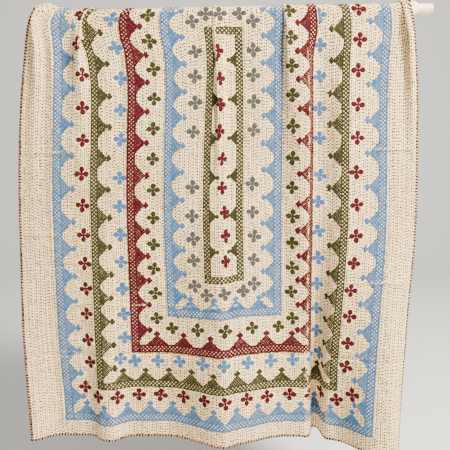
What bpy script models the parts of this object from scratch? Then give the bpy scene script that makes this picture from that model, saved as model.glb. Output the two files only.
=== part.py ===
"""Kantha quilt hung over a painted wall rod: construction model.

Metres, +Z up. X runs along the rod, the wall is the plane Y = 0 and the room is on the -Y side.
The origin is the centre of the left bracket's wall face.
"""
from math import asin, cos, pi, radians, sin

import bmesh
import bpy
import numpy as np
from mathutils import Matrix, Vector

# ---------------------------------------------------------------- rod and brackets
BRACKET_SPACING = 1.285
ROD_RADIUS = 0.019
ROD_FROM_WALL = 0.085
LEFT_STUB = 0.050
RIGHT_STUB = 0.075
CAP_LENGTH = 0.007
CAP_RADIUS = 0.0195
CAP_ROUNDING = 0.002
HEAD_RADIUS = 0.025
HEAD_HALF_LENGTH = 0.026
HEAD_ROUNDING = 0.009
ROUNDING_STEPS = 4
NECK_RADIUS = 0.013
NECK_LENGTH = 0.004
ARM_RADIUS = 0.015
PLATE_RADIUS = 0.031
PLATE_THICKNESS = 0.010
PLATE_ROUNDING = 0.003
COVE_REACH = 0.004
COVE_HEIGHT = 0.010
GAP = 0.0004
SIDES = 32

# ---------------------------------------------------------------- the quilt's cut size
LEFT_SIDE = -0.760
RIGHT_SIDE = 0.742
FRONT_FALL = 1.620
BACK_FALL = -0.560
THICKNESS = 0.002
SEAT_GAP = 0.0006
REACH = ROD_RADIUS + SEAT_GAP + THICKNESS / 2

# Lengths of cloth measured from the rod's crest, minus down the back and plus down the front.
STATIONS = (-0.56, -0.12, -0.03, 0.00, 0.02, 0.06, 0.18, 0.40, 0.75, 1.15, 1.62)

# Soft folds: name, place across the cloth, reach to its left and right, and how far it stands
# out from the hanging plane at each station, in millimetres.
FOLDS = (
    ("left edge",     -0.760, 0.060, 0.110, (0, 6, 18, 14, 12, 6, 2, 0, 0, 12, 48)),
    ("bracket bump",  -0.684, 0.090, 0.078, (0, 4, 14, 17, 20, 20, 12, 4, 0, 0, 0)),
    ("left puff",     -0.700, 0.036, 0.026, (14, 8, 4, 7, 8, 10, 8, 5, 2, 0, 0)),
    ("pocket groove", -0.664, 0.017, 0.014, (0, 0, 0, 0, -1, -6, -5, 0, 0, 0, 0)),
    ("band ridge",    -0.632, 0.034, 0.040, (0, 4, 3, 2, 4, 8, 12, 8, 3, 0, 0)),
    ("flap ridge",    -0.530, 0.070, 0.045, (18, 10, 3, 0, 1, 4, 12, 9, 0, 0, 0)),
    ("green side",    -0.450, 0.100, 0.100, (0, 0, 0, 0, 0, 2, 2, 2, 4, 16, 48)),
    ("maroon groove", -0.375, 0.020, 0.020, (0, 0, 0, 0, 0, 0, -4, -3, 0, 0, 0)),
    ("back left",     -0.330, 0.080, 0.080, (24, 14, 2, 0, 0, 0, 0, 0, 0, 0, 0)),
    ("grey side",     -0.150, 0.090, 0.080, (22, 12, 0, 0, 0, 0, 2, 2, 0, 0, 0)),
    ("centre ridge",  -0.004, 0.240, 0.250, (0, 0, 0, 0, 0, 0, 0, 4, 16, 46, 78)),
    ("centre crease", -0.004, 0.090, 0.036, (0, 4, 1, 1, 2, 4, 6, 6, 8, 8, 10)),
    ("centre right",   0.140, 0.090, 0.090, (24, 12, 2, 0, 1, 2, 4, 3, 4, 2, 0)),
    ("inner flap",     0.252, 0.040, 0.090, (0, 2, 2, 0, 1, 4, 14, 8, 2, 0, 0)),
    ("great ridge",    0.318, 0.110, 0.040, (24, 16, 6, 1, 2, 8, 16, 26, 25, 8, 0)),
    ("great valley",   0.374, 0.060, 0.090, (0, 0, 0, 0, 0, 0, -13, -15, -14, -36, -78)),
    ("green right",    0.490, 0.090, 0.140, (22, 10, 2, 0, 0, 2, 7, 14, 16, 20, 0)),
    ("blue right",     0.665, 0.210, 0.160, (0, 0, 0, 0, 0, 2, 4, 6, 14, 54, 104)),
    ("edge groove",    0.690, 0.030, 0.030, (0, 0, 0, 0, 0, 0, -6, -4, 0, 0, 0)),
    ("right edge",     0.742, 0.105, 0.060, (12, 8, 14, 12, 21, 20, 12, 6, 2, 8, 24)),
)

# Places where the cloth is drawn up: name, place across the cloth, reach to its left and right,
# and how far it is lifted at each station, in millimetres.
LIFTS = (
    ("right half",   0.060, 0.065, 0.360, (0, 0, 0, 0, 0, 0, 0, 4, 10, 10, 5)),
    ("great valley", 0.374, 0.055, 0.070, (0, 0, 0, 0, 0, 0, 0, 2, 8, 16, 18)),
)

# Knife pleats pressed flat on the rod: name, place of the flap's edge, +1 where the flap lies
# on the left and -1 where it lies on the right, cloth turned under, and how far it is closed
# at each station.
PLEATS = (
    ("left tuck",    -0.708, -1, 0.019, (0.0, 0.4, 0.9, 1.0, 0.9, 0.6, 0.2, 0.0, 0.0, 0.0, 0.0)),
    ("green pleat",  -0.528, +1, 0.024, (0.0, 0.6, 1.0, 1.0, 1.0, 1.0, 0.35, 0.0, 0.0, 0.0, 0.0)),
    ("centre pleat", -0.022, -1, 0.010, (0.0, 0.6, 1.0, 1.0, 1.0, 1.0, 0.9, 0.45, 0.0, 0.0, 0.0)),
    ("inner pleat",   0.246, -1, 0.012, (0.0, 0.5, 1.0, 1.0, 1.0, 0.8, 0.3, 0.0, 0.0, 0.0, 0.0)),
    ("great pleat",   0.360, +1, 0.010, (0.0, 0.5, 1.0, 1.0, 1.0, 1.0, 0.2, 0.0, 0.0, 0.0, 0.0)),
    ("edge pleat",    0.716, -1, 0.022, (0.0, 0.5, 0.9, 1.0, 1.0, 0.9, 0.4, 0.1, 0.0, 0.0, 0.0)),
)
PLEAT_TURN = radians(176)
PLEAT_RISE = 0.050
RISE_START = 0.020
CREASE_REACH = 0.0015
STEEPEST = 0.93

# Where the cloth's sides and its middle lie along the rod at each station.
LEFT_OUTLINE = (
    0.045, 0.035, 0.021, -0.028, -0.050, -0.074, -0.097, -0.126, -0.147, -0.152, -0.127)
RIGHT_OUTLINE = (
    1.235, 1.250, 1.257, 1.265, 1.275, 1.283, 1.299, 1.312, 1.320, 1.290, 1.255)
MIDDLE_LINE = (
    0.645, 0.645, 0.643, 0.642, 0.643, 0.645, 0.650, 0.652, 0.647, 0.654, 0.652)
MIDDLE = 0.030

FINE_STEPS = 3004
COLUMN_PITCH = 0.034
NARROW_FOLD = 0.050
CLOSEST_COLUMNS = 0.011
PAST_THE_TUCK = 0.006
ARC_STEPS = 8
BACK_ROWS = 7
FRONT_ROWS = 27
FRONT_CROWDING = 1.35


def clear_scene():
    """Remove every object that the new file holds."""
    for item in list(bpy.data.objects):
        bpy.data.objects.remove(item, do_unlink=True)


def finish_material(name, color, roughness):
    """One plain Principled finish."""
    material = bpy.data.materials.new(name)
    material.use_nodes = True
    shader = material.node_tree.nodes["Principled BSDF"]
    shader.inputs["Base Color"].default_value = (*color, 1.0)
    shader.inputs["Roughness"].default_value = roughness
    shader.inputs["Metallic"].default_value = 0.0
    return material


def object_from_bmesh(name, shape, material):
    """Put a bmesh into the scene as a named object."""
    mesh = bpy.data.meshes.new(name)
    shape.to_mesh(mesh)
    shape.free()
    item = bpy.data.objects.new(name, mesh)
    bpy.context.scene.collection.objects.link(item)
    mesh.materials.append(material)
    return item


# ---------------------------------------------------------------- the cloth's surface
def ease(t):
    """Smooth step from 0 to 1."""
    t = np.clip(t, 0.0, 1.0)
    return t * t * (3.0 - 2.0 * t)


def along(values, length):
    """Read a table row between its stations, on a curve that never overshoots."""
    x = np.asarray(STATIONS)
    y = np.asarray(values, dtype=float)
    width = np.diff(x)
    slope = np.diff(y) / width
    lean = np.zeros_like(y)
    for i in range(1, len(y) - 1):
        if slope[i - 1] * slope[i] > 0:
            lean[i] = 2 * slope[i - 1] * slope[i] / (slope[i - 1] + slope[i])
    i = int(np.clip(np.searchsorted(x, length) - 1, 0, len(width) - 1))
    t = (length - x[i]) / width[i]
    start = (2 * t**3 - 3 * t**2 + 1) * y[i] + (t**3 - 2 * t**2 + t) * width[i] * lean[i]
    end = (3 * t**2 - 2 * t**3) * y[i + 1] + (t**3 - t**2) * width[i] * lean[i + 1]
    return float(start + end)


def sum_of_bells(table, across, length):
    """Add up one table's rounded ridges along a line across the cloth, in metres."""
    total = np.zeros_like(across)
    for _name, place, left_reach, right_reach, heights in table:
        offset = across - place
        share = np.where(offset < 0, -offset / left_reach, offset / right_reach)
        bell = 0.5 + 0.5 * np.cos(pi * np.minimum(share, 1.0))
        total += along(heights, length) / 1000 * bell
    return total


def pleat_lean(across, place, hand, tuck, closed):
    """Angle that a knife pleat adds: a gentle rise to the flap's edge, then a turn under it."""
    turn = PLEAT_TURN * closed
    rise = asin(min(0.9, tuck * sin(turn) / PLEAT_RISE))
    offset = (across - place) * hand
    at_start = ease((offset + PLEAT_RISE) / RISE_START)
    at_edge = ease((offset + CREASE_REACH) / (2 * CREASE_REACH))
    at_end = ease((offset - tuck + CREASE_REACH) / (2 * CREASE_REACH))
    return hand * ((at_start - at_edge) * rise - (at_edge - at_end) * turn)


def running_sum(values, step):
    """Integral of evenly spaced values, from 0."""
    return np.concatenate([[0.0], np.cumsum((values[1:] + values[:-1]) / 2 * step)])


def cross_section(across, length):
    """Places along the rod, and heights over the hanging plane, of one line across the cloth."""
    step = across[1] - across[0]
    height = sum_of_bells(FOLDS, across, length)
    soft_angle = np.arcsin(np.clip(np.gradient(height, across), -STEEPEST, STEEPEST))
    angle = soft_angle.copy()
    spans = []
    for _name, place, hand, tuck, closing in PLEATS:
        closed = along(closing, length)
        if closed > 0:
            angle += pleat_lean(across, place, hand, tuck, closed)
            spans.append((place, hand, tuck))
    travel = running_sum(np.cos(angle), step)
    depth = running_sum(np.sin(angle), step) + height[0]
    for place, hand, tuck in spans:
        sides = (place - hand * (PLEAT_RISE + CREASE_REACH), place + hand * (tuck + CREASE_REACH))
        first, last = np.clip(np.searchsorted(across, sorted(sides)), 0, len(across) - 1)
        jump = depth[last] - depth[first] - np.sum(np.sin(soft_angle[first:last])) * step
        low = min(place, place - hand * PLEAT_RISE)
        depth = depth - jump * ease((across - low) / PLEAT_RISE)
    middle = along(MIDDLE_LINE, length)
    middle_travel = np.interp(MIDDLE, across, travel)
    left_stretch = (middle - along(LEFT_OUTLINE, length)) / middle_travel
    right_stretch = (along(RIGHT_OUTLINE, length) - middle) / (travel[-1] - middle_travel)
    stretch = np.where(across < MIDDLE, left_stretch, right_stretch)
    return middle + (travel - middle_travel) * stretch, depth


def hanging_line(length):
    """Point (y, z) and outward direction on the plain path over the rod and down each side."""
    quarter = REACH * pi / 2
    if length > quarter:
        return (-ROD_FROM_WALL - REACH, quarter - length), (-1.0, 0.0)
    if length < -quarter:
        return (-ROD_FROM_WALL + REACH, quarter + length), (1.0, 0.0)
    turn = length / REACH
    return (-ROD_FROM_WALL - REACH * sin(turn), REACH * cos(turn)), (-sin(turn), cos(turn))


def row_lengths():
    """Stations of the mesh rows: close over the rod, wider towards the hems."""
    quarter = REACH * pi / 2
    back = [BACK_FALL + (-quarter - BACK_FALL) * i / BACK_ROWS for i in range(BACK_ROWS)]
    arc = [-quarter + 2 * quarter * i / ARC_STEPS for i in range(ARC_STEPS)]
    front = [quarter + (FRONT_FALL - quarter) * (i / FRONT_ROWS) ** FRONT_CROWDING
             for i in range(FRONT_ROWS + 1)]
    return back + arc + front


def column_places():
    """Mesh columns: even across the cloth, close at steep folds, none inside a knife pleat."""
    width = RIGHT_SIDE - LEFT_SIDE
    count = round(width / COLUMN_PITCH)
    places = [LEFT_SIDE + width * i / count for i in range(1, count)]
    for _name, place, hand, tuck, _closing in PLEATS:
        caught_up = place + hand * (2 * tuck + PAST_THE_TUCK)
        low, high = sorted((place, caught_up))
        places = [p for p in places if p < low - CLOSEST_COLUMNS or p > high + CLOSEST_COLUMNS]
        places += [low, high]
    for _name, place, left_reach, right_reach, _heights in FOLDS:
        if min(left_reach, right_reach) < NARROW_FOLD:
            for wanted in (place - left_reach / 2, place, place + right_reach / 2):
                if min(abs(wanted - p) for p in places) > CLOSEST_COLUMNS:
                    places.append(wanted)
    inside = [p for p in places if LEFT_SIDE < p < RIGHT_SIDE]
    return [LEFT_SIDE, *sorted(inside), RIGHT_SIDE]


def quilt_surface():
    """Middle surface of the quilt as a grid of points, rows along the cloth's length."""
    across = np.linspace(LEFT_SIDE, RIGHT_SIDE, FINE_STEPS + 1)
    columns = column_places()
    grid = []
    for length in row_lengths():
        travel, depth = cross_section(across, length)
        lift = sum_of_bells(LIFTS, across, length)
        (y, z), (out_y, out_z) = hanging_line(length)
        x = np.interp(columns, across, travel)
        out = np.interp(columns, across, depth)
        up = np.interp(columns, across, lift)
        grid.append(np.column_stack([x, y + out_y * out, z + out_z * out + up]))
    return np.array(grid)


def surface_normals(grid):
    """Unit normals of the grid, pointing to the room on the front fall."""
    down = np.gradient(grid, axis=0)
    over = np.gradient(grid, axis=1)
    normal = np.cross(down, over)
    normal /= np.linalg.norm(normal, axis=2, keepdims=True)
    return normal


def make_quilt():
    """The quilt: one layered cloth over the rod, with its folds, pleats and hem."""
    grid = quilt_surface()
    normal = surface_normals(grid)
    rows, columns = grid.shape[:2]
    shape = bmesh.new()
    layers = []
    for side in (+1, -1):
        points = grid + normal * side * THICKNESS / 2
        layers.append([[shape.verts.new(Vector(p)) for p in line] for line in points])
    outer, inner = layers
    for r in range(rows - 1):
        for c in range(columns - 1):
            shape.faces.new((outer[r][c], outer[r + 1][c], outer[r + 1][c + 1], outer[r][c + 1]))
            shape.faces.new((inner[r][c], inner[r][c + 1], inner[r + 1][c + 1], inner[r + 1][c]))
    for r in range(rows - 1):
        shape.faces.new((outer[r][0], inner[r][0], inner[r + 1][0], outer[r + 1][0]))
        shape.faces.new((outer[r][-1], outer[r + 1][-1], inner[r + 1][-1], inner[r][-1]))
    for c in range(columns - 1):
        shape.faces.new((outer[0][c], outer[0][c + 1], inner[0][c + 1], inner[0][c]))
        shape.faces.new((outer[-1][c], inner[-1][c], inner[-1][c + 1], outer[-1][c + 1]))
    bmesh.ops.triangulate(shape, faces=shape.faces)
    material = finish_material("kantha cotton", (0.80, 0.72, 0.58), 0.9)
    return object_from_bmesh("quilt", shape, material)


# ---------------------------------------------------------------- rod, caps and brackets
def turned(profile, sides=SIDES):
    """A solid turned about its own Z axis from (radius, height) pairs, axis to axis."""
    shape = bmesh.new()
    points = [shape.verts.new((radius, 0.0, height)) for radius, height in profile]
    edges = [shape.edges.new(pair) for pair in zip(points, points[1:])]
    bmesh.ops.spin(shape, geom=points + edges, cent=(0, 0, 0), axis=(0, 0, 1),
                   angle=2 * pi, steps=sides, use_merge=True, use_duplicate=False)
    bmesh.ops.remove_doubles(shape, verts=shape.verts, dist=0.00001)
    bmesh.ops.recalc_face_normals(shape, faces=shape.faces)
    return shape


def shade_turned(item):
    """Smooth shading with crisp shoulders."""
    item.data.shade_smooth()
    item.data.set_sharp_from_angle(angle=radians(35))


def lie_along_rod(shape, start):
    """Turn a shape from Z to X and move it to a place on the rod's axis."""
    turn = Matrix.Rotation(pi / 2, 4, "Y")
    place = Matrix.Translation((start, -ROD_FROM_WALL, 0.0))
    bmesh.ops.transform(shape, matrix=place @ turn, verts=shape.verts)


def rounded_shoulder(radius, rounding, end, hand):
    """Quarter round from an end face out to a turned piece's side."""
    points = []
    for i in range(ROUNDING_STEPS + 1):
        turn = pi / 2 * i / ROUNDING_STEPS
        inward = rounding * (1 - sin(turn))
        points.append((radius - inward, end + hand * rounding * (1 - cos(turn))))
    return points


def make_rod(material):
    """The round rod between the two end caps."""
    start = -LEFT_STUB + CAP_LENGTH + GAP
    end = BRACKET_SPACING + RIGHT_STUB - CAP_LENGTH - GAP
    shape = turned([(0, 0), (ROD_RADIUS, 0), (ROD_RADIUS, end - start), (0, end - start)])
    lie_along_rod(shape, start)
    rod = object_from_bmesh("rod", shape, material)
    shade_turned(rod)


def make_cap(name, inner_face, hand, material):
    """A shallow turned cap on one end of the rod."""
    profile = [(0, 0), (CAP_RADIUS, 0)]
    profile += reversed(rounded_shoulder(CAP_RADIUS, CAP_ROUNDING, CAP_LENGTH, -1))
    profile += [(0, CAP_LENGTH)]
    shape = turned([(radius, height * hand) for radius, height in profile])
    lie_along_rod(shape, inner_face)
    cap = object_from_bmesh(name, shape, material)
    shade_turned(cap)


def bracket_profile():
    """Radius and distance from the wall of the turned bracket, plate to head."""
    head_back = ROD_FROM_WALL - HEAD_HALF_LENGTH
    head_front = ROD_FROM_WALL + HEAD_HALF_LENGTH
    plate_edge = rounded_shoulder(PLATE_RADIUS, PLATE_ROUNDING, PLATE_THICKNESS, -1)
    back_edge = rounded_shoulder(HEAD_RADIUS, HEAD_ROUNDING, head_back, +1)
    front_edge = rounded_shoulder(HEAD_RADIUS, HEAD_ROUNDING, head_front, -1)
    return [
        (0, 0),
        (PLATE_RADIUS, 0),
        *reversed(plate_edge),
        (NECK_RADIUS + COVE_REACH, PLATE_THICKNESS + COVE_REACH / 2),
        (NECK_RADIUS, PLATE_THICKNESS + COVE_HEIGHT),
        (ARM_RADIUS, (PLATE_THICKNESS + head_back) / 2),
        (NECK_RADIUS, head_back - NECK_LENGTH),
        *back_edge,
        *reversed(front_edge),
        (0, head_front),
    ]


def make_bracket(name, place, material):
    """A turned wall bracket, bored crosswise for the rod."""
    shape = turned(bracket_profile())
    turn = Matrix.Rotation(pi / 2, 4, "X")
    move = Matrix.Translation((place, 0.0, 0.0))
    bmesh.ops.transform(shape, matrix=move @ turn, verts=shape.verts)
    bracket = object_from_bmesh(name, shape, material)
    bore_length = 2.4 * HEAD_RADIUS
    bore_radius = ROD_RADIUS + GAP
    bore = turned([(0, 0), (bore_radius, 0), (bore_radius, bore_length), (0, bore_length)])
    lie_along_rod(bore, place - bore_length / 2)
    cutter = object_from_bmesh(name + "_bore", bore, material)
    cutter.hide_render = True
    cutter.display_type = "WIRE"
    cut = bracket.modifiers.new("rod bore", "BOOLEAN")
    cut.operation = "DIFFERENCE"
    cut.solver = "EXACT"
    cut.object = cutter
    shade_turned(bracket)


def main():
    """Build every piece."""
    clear_scene()
    make_quilt()
    rod_paint = finish_material("rod cream paint", (0.80, 0.75, 0.62), 0.35)
    cap_paint = finish_material("cap cream paint", (0.81, 0.76, 0.63), 0.35)
    bracket_paint = finish_material("bracket cream paint", (0.82, 0.77, 0.65), 0.32)
    make_rod(rod_paint)
    make_cap("end_cap_left", -LEFT_STUB + CAP_LENGTH, -1, cap_paint)
    make_cap("end_cap_right", BRACKET_SPACING + RIGHT_STUB - CAP_LENGTH, +1, cap_paint)
    make_bracket("bracket_left", 0.0, bracket_paint)
    make_bracket("bracket_right", BRACKET_SPACING, bracket_paint)


main()
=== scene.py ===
"""Kantha quilt hung over a painted wall rod: the finished look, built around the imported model.

Metres, +Z up. X runs along the rod, the wall is the plane Y = 0 and the room is on the -Y side.
Places on the cloth are (u, v): u across it from its middle line, v along it from its middle,
so that v = MIDDLE_OF_CLOTH lies on the rod's crest and smaller v hangs lower in front.
"""
from math import asin, cos, pi, radians, sin

import bpy
import numpy as np
from bpy.props import FloatProperty, FloatVectorProperty, IntProperty, PointerProperty
from mathutils import Matrix, Vector


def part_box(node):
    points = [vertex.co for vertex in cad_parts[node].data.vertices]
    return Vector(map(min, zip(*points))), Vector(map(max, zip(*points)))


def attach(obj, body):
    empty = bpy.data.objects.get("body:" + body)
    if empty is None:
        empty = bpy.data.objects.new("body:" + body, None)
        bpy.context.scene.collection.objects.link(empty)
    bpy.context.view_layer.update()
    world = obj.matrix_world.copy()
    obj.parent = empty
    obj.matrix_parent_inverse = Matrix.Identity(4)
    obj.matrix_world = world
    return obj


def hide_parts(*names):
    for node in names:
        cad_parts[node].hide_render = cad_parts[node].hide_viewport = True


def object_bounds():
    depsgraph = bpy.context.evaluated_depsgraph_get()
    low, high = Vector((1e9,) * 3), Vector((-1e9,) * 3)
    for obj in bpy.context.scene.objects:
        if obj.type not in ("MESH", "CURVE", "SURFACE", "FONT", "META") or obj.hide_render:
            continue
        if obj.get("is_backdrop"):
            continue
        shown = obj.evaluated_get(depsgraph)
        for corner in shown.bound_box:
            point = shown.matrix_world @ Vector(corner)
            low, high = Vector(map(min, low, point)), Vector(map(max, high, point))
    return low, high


bl_info = {
    "name": "Kantha quilt on a wall rod",
    "version": (1, 0, 0),
    "blender": (4, 5, 0),
    "location": "3D View > Sidebar > Quilt",
    "description": "Builds a hand-quilted kantha cloth hung over a painted rod",
    "category": "Add Mesh",
}

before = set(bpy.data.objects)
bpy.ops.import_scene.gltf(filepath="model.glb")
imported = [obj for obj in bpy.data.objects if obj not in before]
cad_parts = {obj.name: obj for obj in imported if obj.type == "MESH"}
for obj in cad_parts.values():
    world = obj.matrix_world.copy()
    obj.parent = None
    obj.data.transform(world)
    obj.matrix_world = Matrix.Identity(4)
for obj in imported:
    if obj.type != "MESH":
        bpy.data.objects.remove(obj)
cad_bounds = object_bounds()


def metres(value):
    """Millimetres as metres, through every row of a table; words stay as they are."""
    if isinstance(value, dict):
        return {key: metres(row) for key, row in value.items()}
    if isinstance(value, tuple):
        return tuple(metres(item) for item in value)
    return value / 1000 if isinstance(value, (int, float)) else value


# ---- rod and brackets, from the frame
ROD_LOW, ROD_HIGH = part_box("rod")
ROD_RADIUS = (ROD_HIGH[2] - ROD_LOW[2]) / 2
ROD_FROM_WALL = -(ROD_LOW[1] + ROD_HIGH[1]) / 2
HEAD_LOW, HEAD_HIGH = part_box("bracket_right")
BRACKET_SPACING = (HEAD_LOW[0] + HEAD_HIGH[0]) / 2
PLATE_RADIUS = (HEAD_HIGH[0] - HEAD_LOW[0]) / 2
HEAD_FRONT = -HEAD_LOW[1]
HEAD_BACK = ROD_FROM_WALL - (HEAD_FRONT - ROD_FROM_WALL)
HEAD_RADIUS = 0.025
HEAD_ROUNDING = 0.009
NECK_RADIUS = 0.013
ARM_RADIUS = 0.015
PLATE_THICKNESS = 0.010
CHAMFER = 0.0008
# How far a turned face rises from its middle to its rim, so that two stations never coincide.
FACE_STEP = 0.0002

# ---- the quilt's cut size and folds
LEFT_SIDE = -0.760
RIGHT_SIDE = 0.742
FRONT_FALL = 1.620
BACK_FALL = -0.560
THICKNESS = 0.0018
REACH = ROD_RADIUS + 0.0016
MIDDLE_OF_CLOTH = 0.530
CLOTH_LOW = MIDDLE_OF_CLOTH - FRONT_FALL
CLOTH_HIGH = MIDDLE_OF_CLOTH - BACK_FALL

# Lengths of cloth measured from the rod's crest, minus down the back and plus down the front.
STATIONS = metres((-560, -120, -30, 0, 20, 60, 180, 400, 750, 1150, 1620))

# Soft folds: name, place across the cloth, reach to its left and right, and how far it stands
# out from the hanging plane at each station, in millimetres.
FOLDS = (
    ("left edge", -760, 60, 110, (0, 6, 18, 14, 12, 6, 2, 0, 0, 12, 48)),
    ("bracket bump", -684, 90, 78, (0, 4, 14, 17, 20, 20, 12, 4, 0, 0, 0)),
    ("left puff", -700, 36, 26, (14, 8, 4, 7, 8, 10, 8, 5, 2, 0, 0)),
    ("pocket groove", -664, 17, 14, (0, 0, 0, 0, -1, -6, -5, 0, 0, 0, 0)),
    ("band ridge", -632, 34, 40, (0, 4, 3, 2, 4, 8, 12, 8, 3, 0, 0)),
    ("flap ridge", -530, 70, 45, (18, 10, 3, 0, 1, 4, 12, 9, 0, 0, 0)),
    ("green side", -450, 100, 100, (0, 0, 0, 0, 0, 2, 2, 2, 4, 16, 48)),
    ("maroon groove", -375, 20, 20, (0, 0, 0, 0, 0, 0, -4, -3, 0, 0, 0)),
    ("back left", -330, 80, 80, (24, 14, 2, 0, 0, 0, 0, 0, 0, 0, 0)),
    ("grey side", -150, 90, 80, (22, 12, 0, 0, 0, 0, 2, 2, 0, 0, 0)),
    ("centre ridge", -4, 240, 250, (0, 0, 0, 0, 0, 0, 0, 4, 16, 46, 78)),
    ("centre crease", -4, 90, 36, (0, 4, 1, 1, 2, 4, 6, 6, 8, 8, 10)),
    ("centre right", 140, 90, 90, (24, 12, 2, 0, 1, 2, 4, 3, 4, 2, 0)),
    ("inner flap", 252, 40, 90, (0, 2, 2, 0, 1, 4, 14, 8, 2, 0, 0)),
    ("great ridge", 318, 110, 40, (24, 16, 6, 1, 2, 8, 16, 26, 25, 8, 0)),
    ("great valley", 374, 60, 90, (0, 0, 0, 0, 0, 0, -13, -15, -14, -36, -78)),
    ("green right", 490, 90, 140, (22, 10, 2, 0, 0, 2, 7, 14, 16, 20, 0)),
    ("blue right", 665, 210, 160, (0, 0, 0, 0, 0, 2, 4, 6, 14, 54, 104)),
    ("edge groove", 690, 30, 30, (0, 0, 0, 0, 0, 0, -6, -4, 0, 0, 0)),
    ("right edge", 742, 105, 60, (12, 8, 14, 12, 21, 20, 12, 6, 2, 8, 24)),
)

# Places where the cloth is drawn up: name, place across the cloth, reach to its left and right,
# and how far it is lifted at each station, in millimetres.
LIFTS = (
    ("right half", 60, 65, 360, (0, 0, 0, 0, 0, 0, 0, 4, 10, 10, 5)),
    ("great valley", 374, 55, 70, (0, 0, 0, 0, 0, 0, 0, 2, 8, 16, 18)),
)

# Knife pleats pressed flat on the rod: name, place of the flap's edge, +1 where the flap lies
# on the left and -1 where it lies on the right, cloth turned under (both in metres), and how
# far it is closed at each station.
PLEATS = (
    ("left tuck", -0.708, -1, 0.019, (0, 0.4, 0.9, 1, 0.9, 0.6, 0.2, 0, 0, 0, 0)),
    ("green pleat", -0.528, +1, 0.024, (0, 0.6, 1, 1, 1, 1, 0.35, 0, 0, 0, 0)),
    ("centre pleat", -0.022, -1, 0.010, (0, 0.6, 1, 1, 1, 1, 0.9, 0.45, 0, 0, 0)),
    ("inner pleat", 0.246, -1, 0.012, (0, 0.5, 1, 1, 1, 0.8, 0.3, 0, 0, 0, 0)),
    ("great pleat", 0.360, +1, 0.010, (0, 0.5, 1, 1, 1, 1, 0.2, 0, 0, 0, 0)),
    ("edge pleat", 0.716, -1, 0.022, (0, 0.5, 0.9, 1, 1, 0.9, 0.4, 0.1, 0, 0, 0)),
)
# Closed further than this share, a pleat hides the cloth inside it.
PLEAT_HIDES = 0.7
PLEAT_TURN = radians(176)
PLEAT_RISE = 0.050
RISE_START = 0.020
CREASE_REACH = 0.0015
OPEN_CREASE_REACH = 0.013
PAST_CREASE = 0.0005
STEEPEST = 0.93
# Steps in which a line across the cloth is worked out and the mesh's columns and rows are placed.
LINE_STEP = 0.0005
COLUMN_STEP = 0.0001
ROW_STEP = 0.0002
# The mesh's spacing near a pleat's creases, as (distance, spacing), and at a storage crease.
PLEAT_SPACINGS = ((0.0024, 0.0008), (0.0080, 0.0030))
CREASE_SPACING = 0.0045

# Where the cloth's sides, and the place MIDDLE across it, lie along the rod at each station.
LEFT_OUTLINE = metres((45, 35, 21, -28, -50, -74, -97, -126, -147, -152, -127))
RIGHT_OUTLINE = metres((1235, 1250, 1257, 1265, 1275, 1283, 1299, 1312, 1320, 1290, 1255))
MIDDLE_LINE = metres((645, 645, 643, 642, 643, 645, 650, 652, 647, 654, 652))
MIDDLE = 0.030

# Storage creases: length from the crest, from and to across the cloth, and height.
CREASES = metres((
    (240, -760, -620, 3.4), (520, -760, -560, 4.0), (520, 560, 760, 3.8),
    (830, -760, -600, 4.6), (945, -760, -500, -4.2), (1000, 450, 760, 3.4),
    (1100, -600, 100, 3.0), (1290, -760, 760, -3.8), (1420, -300, 300, 2.8),
))
CREASE_HALF_WIDTH = 0.011
CREASE_FADE = 0.060
CREASE_WANDER = 0.004
# Creases and ripples begin this far from the rod's crest, and are full this much further on.
RELIEF_START = 0.05
RELIEF_FADE = 0.15
# Broad ripples: wave length across and along in metres, tilt, and height in millimetres.
RIPPLES = (
    (0.170, 0.310, 0.4, 0.9), (0.090, 0.230, 1.7, 0.6), (0.260, 0.120, 2.9, 0.7),
    (0.061, 0.083, 4.1, 0.45), (0.047, 0.110, 5.3, 0.40),
)

# ---- the stitched pattern, in millimetres where a table is read through metres()
# Frames of openwork: half width, length below the middle and above it, band width, thread.
FRAMES = metres({
    "outer": (630, 1027, 1020, 30, "blue"),
    "olive": (490, 889, 885, 26, "olive"),
    "maroon": (356, 752, 748, 30, "maroon"),
    "inner": (219, 610, 600, 30, "blue"),
    "centre": (73, 476, 443, 24, "olive"),
})
# Spires that stand inwards on each frame: places down a side, the pitch that goes on above them,
# and places along an end on each side of the middle.
SPIRES = metres({
    "outer": ((455, 342, 236, 110, -5, -125, -249, -350, -456, -552, -656, -746, -837, -929),
              106, (42, 126, 210, 294, 378, 465, 550)),
    "olive": ((431, 323, 208, 99, -14, -130, -233, -343, -448, -537, -628, -718, -807),
              105, (44, 132, 222, 308, 391)),
    "maroon": ((451, 352, 256, 152, 40, -79, -189, -286, -380, -472, -565, -664),
               100, (55, 160, 261)),
    "inner": ((503, 412, 318, 221, 129, 28, -67, -169, -265, -354, -444, -530), 96, (40, 130)),
    "centre": ((330, 190, 52, -88, -230, -361), 140, ()),
})
# Spires smaller than the rest, by frame.
SPIRE_SCALES = {"inner": 0.95, "centre": 0.68}
SPIRE_HALF_BASE = 0.038
SPIRE_HEIGHT = 0.032
SPIRE_HOLLOW = 1.25
SPIRE_NECK = 0.0035
# A spire's crossing threads are traced this far from its middle in these steps, and those with
# fewer steps inside it than this are left out.
SPIRE_REACH = 0.060
SPIRE_STEP = 0.00025
FEWEST_STEPS = 28
KNOB_SIZE = 0.0110
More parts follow.
